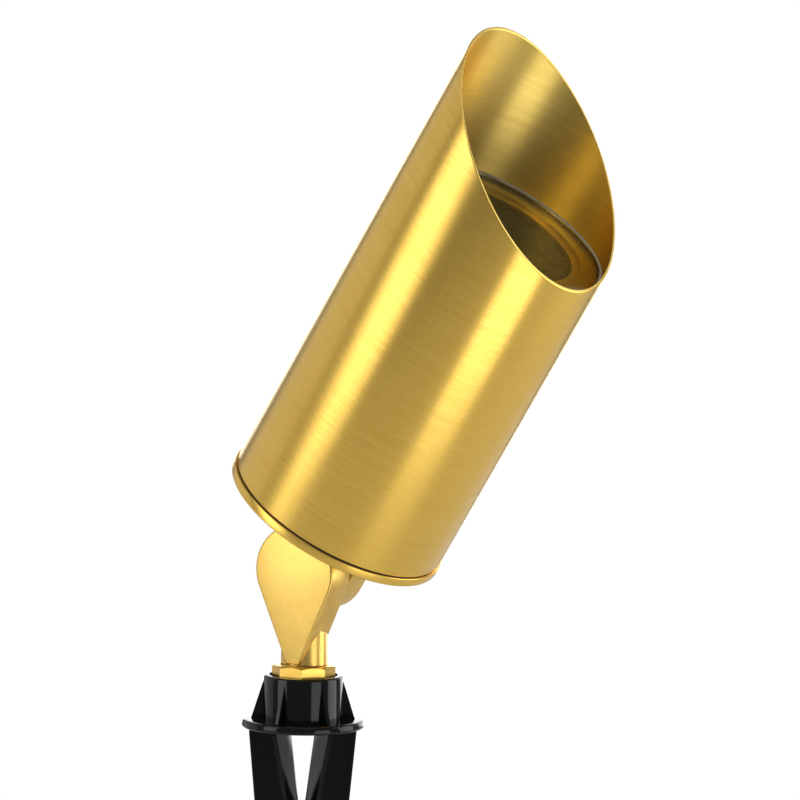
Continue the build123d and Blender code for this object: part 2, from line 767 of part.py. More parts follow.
with BuildPart() as holder_screws:
    with BuildSketch(head.offset(sink_top - holder_screw_bite)):
        with PolarLocations(holder_screw_circle, holder_screw_count):
            Circle(small_screw_radius)
    extrude(amount=holder_top - sink_top + holder_screw_bite)
    with BuildSketch(head.offset(holder_top)):
        with PolarLocations(holder_screw_circle, holder_screw_count):
            Circle(small_head_radius)
    extrude(amount=small_head_height)
write("holder_screws", holder_screws)

# the reflector stands on the chip's holder and reaches the optic
neck_end = holder_top + reflector_neck_height
flange_bottom = optic_bottom - reflector_flange_thickness
reflector_mouth = optic_radius - reflector_flange_width

with BuildPart() as reflector:
    with BuildSketch(head_section):
        with BuildLine():
            Polyline(
                (reflector_throat_radius, holder_top),
                (holder_inner_radius + reflector_wall, holder_top),
                (holder_inner_radius + reflector_wall, holder_top + reflector_wall),
                (reflector_throat_radius + reflector_wall, holder_top + reflector_wall),
                (reflector_throat_radius + reflector_wall, neck_end),
                (reflector_mouth + reflector_wall, flange_bottom),
                (optic_radius, flange_bottom),
                (optic_radius, optic_bottom),
                (reflector_mouth, optic_bottom),
                (reflector_mouth, flange_bottom),
                (reflector_throat_radius, neck_end),
                close=True,
            )
        make_face()
    revolve(axis=tube_axis)
write("reflector", reflector)

with BuildPart() as optic:
    with BuildSketch(head.offset(optic_bottom)):
        Circle(optic_radius)
    extrude(amount=optic_thickness)
    groove_pitch = optic_radius / (optic_groove_count + 1)
    with BuildSketch(head.offset(optic_top)):
        for index in range(1, optic_groove_count + 1):
            Circle(index * groove_pitch)
            Circle(index * groove_pitch - optic_groove_width, mode=Mode.SUBTRACT)
    extrude(amount=-optic_groove_depth, mode=Mode.SUBTRACT)
write("optic", optic)

with BuildPart() as optic_clip:
    clip_inner = optic_radius + seat_clearance
    with BuildSketch(head_section):
        with BuildLine():
            Polyline(
                (clip_inner, flange_bottom),
                (clip_radius, flange_bottom),
                (clip_radius, optic_top + clip_lip_thickness),
                (clip_inner - clip_lip_width, optic_top + clip_lip_thickness),
                (clip_inner - clip_lip_width, optic_top),
                (clip_inner, optic_top),
                close=True,
            )
        make_face()
    revolve(axis=tube_axis)
write("optic_clip", optic_clip)

# ---------------------------------------------------------------- cowl

with BuildPart() as cowl_tube:
    with BuildSketch(head.offset(tube_start)):
        Circle(tube_radius)
        Circle(bore_radius, mode=Mode.SUBTRACT)
    extrude(amount=head_length)
    slant = degrees(atan2(mouth_drop, tube_diameter))
    mouth = head.offset(head_length - mouth_drop / 2).rotated((0, slant, 0))
    split(bisect_by=mouth, keep=Keep.BOTTOM)
write("cowl_tube", cowl_tube)

with BuildPart() as lens_seat:
    with BuildSketch(head_section):
        with BuildLine():
            Polyline(
                (seat_hole_radius, seat_bottom),
                (bore_radius - seat_clearance, seat_bottom),
                (bore_radius - seat_clearance, seat_top),
                (seat_land_radius, seat_top),
                (seat_land_radius, seat_top - seat_step),
                (seat_hole_radius, seat_top - seat_step),
                close=True,
            )
        make_face()
    revolve(axis=tube_axis)
write("lens_seat", lens_seat)

glass_radius = bore_radius - glass_edge_gap

with BuildPart() as lens_gasket:
    with BuildSketch(head.offset(seat_top)):
        Circle(glass_radius)
        Circle(glass_radius - gasket_width, mode=Mode.SUBTRACT)
    extrude(amount=gasket_thickness)
write("lens_gasket", lens_gasket)

with BuildPart() as lens_glass:
    with BuildSketch(head.offset(glass_bottom)):
        Circle(glass_radius)
    extrude(amount=glass_thickness)
write("lens_glass", lens_glass)

with BuildPart() as lens_bead:
    bead_outer = bore_radius - seat_clearance
    with BuildSketch(head_section):
        Polygon(
            (bead_outer, glass_top),
            (bead_outer - bead_width, glass_top),
            (bead_outer, glass_top + bead_height),
            align=None,
        )
    revolve(axis=tube_axis)
write("lens_bead", lens_bead)
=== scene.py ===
"""The finished look of a brass garden spike spotlight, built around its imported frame.

Each sub-assembly is a class that models its pieces with edit-mode operators, in millimetres, and
dresses them with procedural finishes. The studio has a pale floor, soft boxes and one camera.
"""

from __future__ import annotations

import json
import logging
import math
from dataclasses import dataclass, field
from enum import Enum
from typing import Any, Callable, Mapping, Sequence

import bmesh
import bpy
from mathutils import Matrix, Vector

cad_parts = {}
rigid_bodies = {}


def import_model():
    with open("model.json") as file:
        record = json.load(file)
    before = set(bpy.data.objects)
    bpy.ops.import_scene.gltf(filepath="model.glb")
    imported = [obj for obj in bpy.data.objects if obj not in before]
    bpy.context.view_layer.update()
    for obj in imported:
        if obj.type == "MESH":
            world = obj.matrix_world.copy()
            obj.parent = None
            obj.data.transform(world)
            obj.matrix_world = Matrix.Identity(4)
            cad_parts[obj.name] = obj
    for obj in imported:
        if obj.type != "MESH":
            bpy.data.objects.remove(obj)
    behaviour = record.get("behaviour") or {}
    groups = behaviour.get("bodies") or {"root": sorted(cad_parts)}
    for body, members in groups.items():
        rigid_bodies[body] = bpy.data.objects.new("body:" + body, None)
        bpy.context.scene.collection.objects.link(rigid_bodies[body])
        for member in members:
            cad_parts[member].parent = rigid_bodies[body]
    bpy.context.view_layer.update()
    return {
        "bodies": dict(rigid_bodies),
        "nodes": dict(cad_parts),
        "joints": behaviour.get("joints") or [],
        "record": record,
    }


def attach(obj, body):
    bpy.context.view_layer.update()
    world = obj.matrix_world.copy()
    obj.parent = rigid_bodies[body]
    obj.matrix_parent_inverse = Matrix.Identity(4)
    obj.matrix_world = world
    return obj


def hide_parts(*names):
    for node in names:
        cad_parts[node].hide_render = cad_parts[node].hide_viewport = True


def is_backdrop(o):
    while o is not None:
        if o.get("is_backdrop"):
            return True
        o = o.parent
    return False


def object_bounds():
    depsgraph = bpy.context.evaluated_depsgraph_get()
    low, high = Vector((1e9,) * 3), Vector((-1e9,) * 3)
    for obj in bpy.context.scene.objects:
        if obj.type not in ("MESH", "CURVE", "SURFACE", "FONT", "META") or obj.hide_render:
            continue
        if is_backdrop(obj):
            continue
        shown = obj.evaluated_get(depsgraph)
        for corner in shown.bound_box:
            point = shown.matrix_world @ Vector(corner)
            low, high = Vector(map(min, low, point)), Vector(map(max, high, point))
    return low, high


LOG = logging.getLogger("spotlight")
MM = 0.001
FULL_TURN = 2 * math.pi

Point2 = tuple[float, float]
Range = tuple[float, float]
Colour = tuple[float, float, float]
Thing = bpy.types.Object
Material = bpy.types.Material
Test = Callable[[Any], bool]

UNIT: Range = (0, 1)
NOISE_BODY: Range = (0.3, 0.7)
REMAP_INPUTS = ("Value", "From Min", "From Max", "To Min", "To Max")


class Join(Enum):
    """How two solids are combined."""

    UNION = "UNION"
    CUT = "DIFFERENCE"


# Outlines


def arc(centre: Point2, radius: float, start: float, end: float, steps: int) -> list[Point2]:
    """Points along an arc.

    Args:
        centre: The arc's centre.
        radius: Its radius.
        start: First angle in degrees, counter-clockwise from the first axis.
        end: Last angle in degrees.
        steps: How many chords stand for the arc.

    Returns:
        The points, both ends included.
    """
    angles = [math.radians(start + (end - start) * i / steps) for i in range(steps + 1)]
    return [(centre[0] + radius * math.cos(a), centre[1] + radius * math.sin(a)) for a in angles]


def band(inner: float, outer: float, low: float, high: float) -> list[Point2]:
    """The profile of a ring with a square section."""
    return [(inner, low), (outer, low), (outer, high), (inner, high)]


def eased(points: Sequence[tuple[float, float, float]], steps: int = 4) -> list[Point2]:
    """An outline whose corners are rounded.

    Args:
        points: Corners as (first, second, corner radius).
        steps: Chords for each round.

    Returns:
        The outline's points. A corner with radius 0 stays sharp.
    """
    outline: list[Point2] = []
    for index, (x, y, radius) in enumerate(points):
        corner = Vector((x, y))
        if radius <= 0 or index in (0, len(points) - 1):
            outline.append((x, y))
            continue
        before = (Vector(points[index - 1][:2]) - corner).normalized()
        after = (Vector(points[index + 1][:2]) - corner).normalized()
        half = before.angle(after) / 2
        centre = corner + (before + after).normalized() * (radius / math.sin(half))
        reach = radius / math.tan(half)
        first = corner + before * reach - centre
        turn = first.angle_signed(corner + after * reach - centre)
        for step in range(steps + 1):
            swing = Matrix.Rotation(-turn * step / steps, 2)
            outline.append(tuple(centre + swing @ first))
    return outline


# Modelling


class Bench:
    """Models pieces with Blender's own operators. Sizes are millimetres, the merge gap metres."""

    merge_gap = 0.00001
    smooth_angle = math.radians(32)
    sharp_angle = math.radians(40)

    def free(self) -> None:
        """Leaves edit mode and deselects every object."""
        if bpy.context.mode != "OBJECT":
            bpy.ops.object.mode_set(mode="OBJECT")
        bpy.ops.object.select_all(action="DESELECT")

    def take(self, obj: Thing) -> None:
        """Makes one object the only selected and active one.

        Args:
            obj: The object.
        """
        self.free()
        obj.select_set(True)
        bpy.context.view_layer.objects.active = obj

    def open(self, obj: Thing) -> None:
        """Opens one object in edit mode."""
        self.take(obj)
        bpy.ops.object.mode_set(mode="EDIT")

    def trace(self, name: str, points: Sequence[Sequence[float]], closed: bool) -> Thing:
        """Starts a piece as one vertex and extrudes it from point to point.

        Args:
            name: The new piece's name.
            points: Where the wire goes.
            closed: Whether its ends are joined.

        Returns:
            The piece, open in edit mode and selected all over.
        """
        self.free()
        bpy.ops.mesh.primitive_plane_add(size=MM, location=(0, 0, 0))
        obj = bpy.context.object
        obj.name = name
        obj.data.name = name
        bpy.ops.object.mode_set(mode="EDIT")
        bpy.ops.mesh.select_mode(type="VERT")
        bpy.ops.mesh.select_all(action="SELECT")
        bpy.ops.mesh.merge(type="CENTER")
        bpy.ops.transform.translate(value=[c * MM for c in points[0]])
        stops = [*points, points[0]] if closed else points
        for before, after in zip(stops, stops[1:]):
            step = [(b - a) * MM for a, b in zip(before, after)]
            bpy.ops.mesh.extrude_vertices_move(TRANSFORM_OT_translate={"value": step})
        bpy.ops.mesh.select_all(action="SELECT")
        bpy.ops.mesh.remove_doubles(threshold=self.merge_gap)
        return obj

    def turned(self, name: str, profile: Sequence[Point2], steps: int = 192) -> Thing:
        """Spins a profile about Z, as on a lathe.

        Args:
            name: The new piece's name.
            profile: (radius, height) points. It is closed unless both ends are on the axis.
            steps: Steps of the full turn.

        Returns:
            The closed solid, standing on its own axis.
        """
        on_axis = profile[0][0] == 0 and profile[-1][0] == 0
        obj = self.trace(name, [(r, 0, z) for r, z in profile], closed=not on_axis)
        bpy.ops.mesh.spin(steps=steps, angle=FULL_TURN, center=(0, 0, 0), axis=(0, 0, 1))
        self.close(obj)
        return obj

    def plate(self, name: str, outline: Sequence[Point2], near: float, far: float) -> Thing:
        """Extrudes an outline in X and Z along Y.

        Args:
            name: The new piece's name.
            outline: (x, z) corners.
            near: The outline's own place along Y.
            far: Where the extrusion ends.

        Returns:
            The closed plate.
        """
        obj = self.trace(name, [(x, near, z) for x, z in outline], closed=True)
        bpy.ops.mesh.edge_face_add()
        reach = (0, (far - near) * MM, 0)
        bpy.ops.mesh.extrude_region_move(TRANSFORM_OT_translate={"value": reach})
        self.close(obj)
        return obj

    def close(self, obj: Thing) -> None:
        """Merges doubles, turns the faces outwards and leaves edit mode.

        Args:
            obj: The piece.
        """
        if bpy.context.mode != "EDIT_MESH":
            self.open(obj)
        bpy.ops.mesh.select_all(action="SELECT")
        bpy.ops.mesh.remove_doubles(threshold=self.merge_gap)
        bpy.ops.mesh.normals_make_consistent(inside=False)
        bpy.ops.object.mode_set(mode="OBJECT")

    def bevel(self, obj: Thing, width: float, segments: int, test: Test) -> None:
        """Bevels some edges.

        Args:
            obj: The piece.
            width: The bevel's width.
            segments: How many facets stand for its round.
            test: Says of one edge whether it is bevelled.
        """
        self.open(obj)
        bpy.ops.mesh.select_mode(type="EDGE")
        bpy.ops.mesh.select_all(action="DESELECT")
        mesh = bmesh.from_edit_mesh(obj.data)
        chosen = [edge for edge in mesh.edges if test(edge)]
        for edge in chosen:
            edge.select_set(True)
        mesh.select_flush_mode()
        bmesh.update_edit_mesh(obj.data)
        if chosen:
            bpy.ops.mesh.bevel(offset=width * MM, segments=segments, affect="EDGES")
        bpy.ops.object.mode_set(mode="OBJECT")

    def combine(self, obj: Thing, tool: Thing, how: Join) -> None:
        """Combines two solids.

        Args:
            obj: The solid that is changed.
            tool: The other one, which is used up.
            how: Whether the tool is added or cut away.
        """
        self.take(obj)
        change = obj.modifiers.new("combine", "BOOLEAN")
        change.operation = how.value
        change.solver = "EXACT"
        change.object = tool
        bpy.ops.object.modifier_apply(modifier=change.name)
        bpy.data.objects.remove(tool, do_unlink=True)

    def copy_of(self, node: str, name: str, frame: Mapping[str, Any]) -> Thing:
        """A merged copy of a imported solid, for a finer surface over the same shape.

        Args:
            node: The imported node's name.
            name: The copy's name.

        Returns:
            The merged copy, at the origin.
        """
        self.free()
        obj = bpy.data.objects.new(name, frame["nodes"][node].data.copy())
        bpy.context.scene.collection.objects.link(obj)
        obj.data.materials.clear()
        self.open(obj)
        bpy.ops.mesh.customdata_custom_splitnormals_clear()
        bpy.ops.mesh.select_all(action="SELECT")
        bpy.ops.mesh.remove_doubles(threshold=self.merge_gap)
        bpy.ops.object.mode_set(mode="OBJECT")
        return obj

    def settle(self, obj: Thing, matrix: Matrix | None = None) -> Thing:
        """Places the mesh, keeps its object at the origin, and smooths its shading.

        Args:
            obj: The piece.
            matrix: Where its mesh goes, or None if it is in place.

        Returns:
            The piece.
        """
        self.take(obj)
        if matrix is not None:
            obj.data.transform(matrix)
        bpy.ops.object.shade_smooth_by_angle(angle=self.smooth_angle)
        self.free()
        return obj


@dataclass(frozen=True)
class Span:
    """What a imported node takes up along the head's axis, in millimetres."""

    low: float
    high: float
    inner: float
    outer: float


@dataclass(frozen=True)
class HeadAxis:
    """The head's axis: its foot on the cap's underside and its lean from upright."""

    foot: Vector
    lean: float

    @classmethod
    def read(cls, frame: Mapping[str, Any]) -> HeadAxis:
        """Reads the axis that the tube turns on."""
        joint = next(j for j in frame["joints"] if j["name"] == "cowl_turn")
        return cls(Vector(joint["pos_m"]), math.atan2(joint["axis"][0], joint["axis"][2]))

    @property
    def direction(self) -> Vector:
        """The axis as a unit vector."""
        return Vector((math.sin(self.lean), 0, math.cos(self.lean)))

    @property
    def matrix(self) -> Matrix:
        """Carries a piece that stands on Z onto the head's axis."""
        return Matrix.Translation(self.foot) @ Matrix.Rotation(self.lean, 4, "Y")

    def span(self, frame: Mapping[str, Any], node: str) -> Span:
        """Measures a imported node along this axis.

        Args:
            node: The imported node's name.

        Returns:
            Its heights on the axis and its radii round it.
        """
        back = self.matrix.inverted()
        places = [back @ vertex.co for vertex in frame["nodes"][node].data.vertices]
        heights = [p.z / MM for p in places]
        radii = [math.hypot(p.x, p.y) / MM for p in places]
        return Span(min(heights), max(heights), min(radii), max(radii))


# Finishes


@dataclass(frozen=True)
class Noise:
    """A noise: its waves in a metre, its octaves, and how much the finer ones count."""

    scale: float
    detail: float = 3
    rough: float = 0.55


class Graph:
    """A node material under construction, on object coordinates."""

    def __init__(self, name: str) -> None:
        self.material = bpy.data.materials.new(name)
        self.material.use_nodes = True
        self.nodes = self.material.node_tree.nodes
        self.links = self.material.node_tree.links
        self.shader = next(n for n in self.nodes if n.type == "BSDF_PRINCIPLED")
        self.place = self.nodes.new("ShaderNodeTexCoord").outputs["Object"]

    def feed(self, socket: Any, value: Any) -> None:
        """Links a socket to another one, or sets its own value.

        Args:
            socket: The input.
            value: The other socket, or the value.
        """
        if isinstance(value, bpy.types.NodeSocket):
            self.links.new(value, socket)
        else:
            socket.default_value = value

    def add(self, kind: str, inputs: Mapping[Any, Any], **settings: Any) -> Any:
        """Adds a node.

        Args:
            kind: The node's type.
            inputs: Sockets or values, by the name or number of the input.
            **settings: The node's own properties.

        Returns:
            The node.
        """
        node = self.nodes.new(kind)
        for key, value in settings.items():
            setattr(node, key, value)
        for key, value in inputs.items():
            self.feed(node.inputs[key], value)
        return node

    def surface(self, inputs: Mapping[str, Any]) -> None:
        """Feeds the surface shader."""
        for key, value in inputs.items():
            self.feed(self.shader.inputs[key], value)

    def vector(self, operation: str, *operands: Any) -> Any:
        """One step of vector arithmetic."""
        node = self.add("ShaderNodeVectorMath", dict(enumerate(operands)), operation=operation)
        return node.outputs["Value" if operation == "LENGTH" else "Vector"]

    def stretched(self, place: Any, scale: Sequence[float]) -> Any:
        """A place scaled unevenly, so that a noise on it has a grain."""
        return self.add("ShaderNodeMapping", {"Vector": place, "Scale": scale}).outputs["Vector"]

    def stood_up(self, axis: HeadAxis) -> Any:
        """Turns the object coordinates so that an axis is Z, with its foot at zero.

        Args:
            axis: The axis.

        Returns:
            The socket with the turned coordinates.
        """
        foot = Matrix.Rotation(-axis.lean, 3, "Y") @ axis.foot
        inputs = {"Vector": self.place, "Rotation": (0, -axis.lean, 0), "Location": -foot}
        return self.add("ShaderNodeMapping", inputs).outputs["Vector"]

    def noise(self, place: Any, kind: Noise) -> Any:
        """Noise between 0 and 1, at a place."""
        inputs = {"Vector": place, "Scale": kind.scale, "Detail": kind.detail, "Roughness": kind.rough}
        return self.add("ShaderNodeTexNoise", inputs).outputs["Fac"]

    def remap(self, value: Any, source: Range, target: Range = UNIT) -> Any:
        """Carries a value from a source range to a target range, and holds it inside."""
        inputs = dict(zip(REMAP_INPUTS, (value, *source, *target)))
        return self.add("ShaderNodeMapRange", inputs).outputs["Result"]

    def sum(self, first: Any, second: Any, weight: float) -> Any:
        """The first value plus the second one times its weight."""
        inputs = {0: second, 1: weight, 2: first}
        return self.add("ShaderNodeMath", inputs, operation="MULTIPLY_ADD").outputs[0]

    def blend(self, share: Any, first: Any, second: Any) -> Any:
        """A colour between two.

        Args:
            share: How much the second one counts.
            first: A colour or its socket.
            second: A colour or its socket.

        Returns:
            The socket with the blended colour.
        """
        pair = [c if isinstance(c, bpy.types.NodeSocket) else (*c, 1) for c in (first, second)]
        inputs = {0: share, 6: pair[0], 7: pair[1]}
        return self.add("ShaderNodeMix", inputs, data_type="RGBA").outputs[2]

    def bump(self, height: Any, depth: float, under: Any = None) -> Any:
        """A relief in the surface.

        Args:
            height: The relief's height, between 0 and 1.
            depth: How deep it is, in metres.
            under: The relief that this one lies over, if any.

        Returns:
            The socket with the bent normal.
        """
        inputs = {"Height": height, "Distance": depth}
        if under is not None:
            inputs["Normal"] = under
        return self.add("ShaderNodeBump", inputs).outputs["Normal"]

    def spun_tangent(self, axis: HeadAxis) -> Any:
        """Finds the direction across the brush lines of a piece that was brushed while it turned.

        Args:
            axis: The axis that it turned on.

        Returns:
            The socket with the direction, in world coordinates.
        """
        arm = self.vector("SUBTRACT", self.place, axis.foot)
        hoop = self.vector("CROSS_PRODUCT", axis.direction, arm)
        settings = {"vector_type": "VECTOR", "convert_from": "OBJECT", "convert_to": "WORLD"}
        turned = self.add("ShaderNodeVectorTransform", {"Vector": hoop}, **settings)
        normal = self.nodes.new("ShaderNodeNewGeometry").outputs["Normal"]
        return self.vector("NORMALIZE", self.vector("CROSS_PRODUCT", turned.outputs[0], normal))


@dataclass(frozen=True)
class BrushedBrass:
    """Natural brass with fine brush lines round an axis, and duller inside an inner radius. Inside that
    radius its colours are painted light, set to how bright light makes the inside of the tube.
    """

    name: str
    axis: HeadAxis
    bright: Colour = (0.95, 0.64, 0.145)
    deep: Colour = (0.88, 0.55, 0.10)
    tarnish: Colour = (0.64, 0.38, 0.07)
    line_width: float = 0.00034
    line_run: float = 0.035
    roughness: Range = (0.26, 0.32)
    polish_range: Range = (0.15, 0.85)
    anisotropy: float = 0.72
    relief: float = 0.0000014
    inner_radius: float = 0.0
    inner_edge: float = 0.0004
    # Painted light: the inner wall's own colours, set to how bright the lit inside of the tube looks.
    inner_painted_light_bright: Colour = (0.90, 0.66, 0.18)
    inner_painted_light_deep: Colour = (0.80, 0.56, 0.13)
    inner_dulling: float = 0.09
    fine_lines: Noise = Noise(1, 2)
    broad_lines: Noise = Noise(1)
    broad_run: float = 0.6
    broad_width: float = 0.22
    broad_share: float = 0.55
    fine_share: float = 0.45
    broad_relief: float = 0.6
    stains: Noise = Noise(34, 4, 0.6)
    stain_range: Range = (0.52, 0.78)
    stain_share: float = 0.12

    def make(self) -> Material:
        """Builds the material."""
        graph = Graph(self.name)
        stood = graph.stood_up(self.axis)
        radius = graph.vector("LENGTH", graph.vector("MULTIPLY", stood, (1, 1, 0)))
        inside = graph.remap(radius, (self.inner_radius, self.inner_radius + self.inner_edge), (1, 0))
        run = 1 / self.line_run
        rise = 1 / self.line_width
        slow = run * self.broad_run
        fine = graph.noise(graph.stretched(stood, (run, run, rise)), self.fine_lines)
        broad = graph.noise(graph.stretched(stood, (slow, slow, self.broad_width * rise)), self.broad_lines)
        lines = graph.remap(broad, NOISE_BODY, (0, self.broad_share))
        grain = graph.sum(lines, graph.remap(fine, NOISE_BODY), self.fine_share)
        metal = graph.blend(grain, self.deep, self.bright)
        cloud = graph.noise(graph.place, self.stains)
        stain = graph.remap(cloud, self.stain_range, (0, self.stain_share))
        outer = graph.blend(stain, metal, self.tarnish)
        # Painted light: the inner wall's colours, which replace the outer ones inside the inner radius.
        inner = graph.blend(grain, self.inner_painted_light_deep, self.inner_painted_light_bright)
        rough = graph.remap(grain, self.polish_range, self.roughness[::-1])
        graph.surface({
            "Base Color": graph.blend(inside, outer, inner),
            "Metallic": 1.0,
            "Roughness": graph.sum(rough, inside, self.inner_dulling),
            "Anisotropic": self.anisotropy,
            "Tangent": graph.spun_tangent(self.axis),
            "Normal": graph.bump(graph.sum(fine, broad, self.broad_relief), self.relief),
        })
        return graph.material


@dataclass(frozen=True)
class CastBrass:
    """Satin brass of a tumbled casting: soft, a little mottled, with tiny pits."""

    name: str
    bright: Colour = (0.90, 0.60, 0.15)
    deep: Colour = (0.80, 0.52, 0.12)
    tarnish: Colour = (0.50, 0.31, 0.09)
    roughness: Range = (0.27, 0.36)
    polish_range: Range = (0.25, 0.75)
    mottle: Noise = Noise(150, 5, 0.62)
    ripple: float = 0.00003
    swells: Noise = Noise(42)
    swell_depth: float = 0.000045
    stain_range: Range = (0.5, 0.75)
    stain_share: float = 0.22
    specks: Noise = Noise(1500, 2)
    pit_range: Range = (0.66, 0.74)
    pit_stain: float = 0.5
    pit_depth: float = 0.00005

    def make(self) -> Material:
        """Builds the material."""
        graph = Graph(self.name)
        mottle = graph.noise(graph.place, self.mottle)
        broad = graph.noise(graph.place, self.swells)
        pits = graph.remap(graph.noise(graph.place, self.specks), self.pit_range)
        metal = graph.blend(graph.remap(mottle, NOISE_BODY), self.deep, self.bright)
        stain = graph.remap(broad, self.stain_range, (0, self.stain_share))
        stained = graph.blend(stain, metal, self.tarnish)
        swell = graph.bump(broad, self.swell_depth)
        grain = graph.bump(mottle, self.ripple, swell)
        graph.surface({
            "Base Color": graph.blend(graph.remap(pits, UNIT, (0, self.pit_stain)), stained, self.tarnish),
            "Metallic": 1.0,
            "Roughness": graph.remap(mottle, self.polish_range, self.roughness),
            "Normal": graph.bump(graph.remap(pits, UNIT, (1, 0)), self.pit_depth, grain),
        })
        return graph.material


@dataclass(frozen=True)
class GlossPlastic:
    """Glossy moulded plastic with faint sink and flow marks and a little dust."""

    name: str
    colour: Colour = (0.004, 0.004, 0.0045)
    dust: Colour = (0.03, 0.03, 0.032)
    roughness: Range = (0.06, 0.14)
    specular: float = 0.32
    polish_range: Range = (0.4, 1.0)
    flow_scale: tuple[float, float, float] = (70, 70, 24)
    flow: Noise = Noise(1)
    flow_depth: float = 0.0001
    grain: Noise = Noise(900, 3, 0.6)
    grain_depth: float = 0.000005
    grain_share: float = 0.35
    specks: Noise = Noise(1900, 1)
    speck_range: Range = (0.72, 0.78)
    speck_share: float = 0.5

    def make(self) -> Material:
        """Builds the material."""
        graph = Graph(self.name)
        flow = graph.noise(graph.stretched(graph.place, self.flow_scale), self.flow)
        grain = graph.noise(graph.place, self.grain)
        speck = graph.remap(graph.noise(graph.place, self.specks), self.speck_range, (0, self.speck_share))
        skin = graph.sum(flow, grain, self.grain_share)
        graph.surface({
            "Base Color": graph.blend(speck, self.colour, self.dust),
            "Roughness": graph.remap(skin, self.polish_range, self.roughness),
            "Specular IOR Level": self.specular,
            "Normal": graph.bump(grain, self.grain_depth, graph.bump(flow, self.flow_depth)),
        })
        return graph.material


@dataclass(frozen=True)
class MattSolid:
    """A plain solid with a moulded or sanded skin: rubber, resin, filled plastic, ceramic pad."""

    name: str
    colour: Colour
    shade: Colour
    roughness: Range
    grain: float = 0.0004
    relief: float = 0.00002
    metallic: float = 0.0
    skin_rough: float = 0.6
    skin_share: float = 0.4
    cloud_width: float = 0.09
    shade_range: Range = (0.4, 1.0)

    def make(self) -> Material:
        """Builds the material."""
        graph = Graph(self.name)
        skin = graph.noise(graph.place, Noise(1 / self.grain, rough=self.skin_rough))
        cloud = graph.noise(graph.place, Noise(self.cloud_width / self.grain))
        share = graph.remap(graph.sum(cloud, skin, self.skin_share), self.shade_range)
        graph.surface({
            "Base Color": graph.blend(share, self.colour, self.shade),
            "Metallic": self.metallic,
            "Roughness": graph.remap(skin, NOISE_BODY, self.roughness),
            "Normal": graph.bump(skin, self.relief),
        })
        return graph.material


@dataclass(frozen=True)
class TurnedMetal:
    """Steel or aluminium with the fine rings that a lathe or a mill leaves."""

    name: str
    axis: HeadAxis
    colour: Colour
    shade: Colour
    roughness: Range = (0.22, 0.36)
    pitch: float = 0.00025
    ring_scale: float = 30
    rings: Noise = Noise(1, 2)
    ring_share: float = 0.3
    clouds: Noise = Noise(120)
    anisotropy: float = 0.4
    relief: float = 0.000004

    def make(self) -> Material:
        """Builds the material."""
        graph = Graph(self.name)
        scale = (self.ring_scale, self.ring_scale, 1 / self.pitch)
        rings = graph.noise(graph.stretched(graph.stood_up(self.axis), scale), self.rings)
        cloud = graph.noise(graph.place, self.clouds)
        graph.surface({
            "Base Color": graph.blend(graph.sum(cloud, rings, self.ring_share), self.shade, self.colour),
            "Metallic": 1.0,
            "Roughness": graph.remap(rings, NOISE_BODY, self.roughness),
            "Anisotropic": self.anisotropy,
            "Tangent": graph.spun_tangent(self.axis),
            "Normal": graph.bump(rings, self.relief),
        })
        return graph.material


@dataclass(frozen=True)
class ClearGlass:
    """Toughened glass, faintly green, with a trace of haze."""

    name: str
    colour: Colour = (0.93, 0.97, 0.95)
    shade: Colour = (0.90, 0.95, 0.93)
    shade_range: Range = (0.4, 0.7)
    haze: Noise = Noise(60, 4, 0.6)
    haze_range: Range = (0.45, 0.8)
    roughness: Range = (0.0, 0.05)
    ior: float = 1.33
    waves: Noise = Noise(18, 2)
    relief: float = 0.00002

    def make(self) -> Material:
        """Builds the material."""
        graph = Graph(self.name)
        haze = graph.noise(graph.place, self.haze)
        graph.surface({
            "Base Color": graph.blend(graph.remap(haze, self.shade_range), self.colour, self.shade),
            "Roughness": graph.remap(haze, self.haze_range, self.roughness),
            "IOR": self.ior,
            "Transmission Weight": 1.0,
            "Normal": graph.bump(graph.noise(graph.place, self.waves), self.relief),
        })
        return graph.material


@dataclass(frozen=True)
class Silicone:
    """Cured sealant: milky, with a soft skin and a few trapped bubbles."""

    name: str
    colour: Colour = (0.56, 0.56, 0.52)
    shade: Colour = (0.36, 0.35, 0.30)
    roughness: Range = (0.22, 0.42)
    skin: Noise = Noise(320, 4, 0.6)
    bubbles: Noise = Noise(1100, 1)
    bubble_range: Range = (0.66, 0.74)
    bubble_shade: float = 0.4
    bubble_relief: float = 0.5
    relief: float = 0.00012
    depth: tuple[float, float, float] = (0.002, 0.002, 0.0018)
    depth_share: float = 0.25

    def make(self) -> Material:
        """Builds the material."""
        graph = Graph(self.name)
        skin = graph.noise(graph.place, self.skin)
        bubble = graph.remap(graph.noise(graph.place, self.bubbles), self.bubble_range)
        graph.surface({
            "Base Color": graph.blend(graph.sum(skin, bubble, self.bubble_shade), self.colour, self.shade),
            "Roughness": graph.remap(skin, NOISE_BODY, self.roughness),
            "Subsurface Weight": self.depth_share,
            "Subsurface Radius": self.depth,
            "Subsurface Scale": 1.0,
            "Normal": graph.bump(graph.sum(skin, bubble, self.bubble_relief), self.relief),
        })
        return graph.material


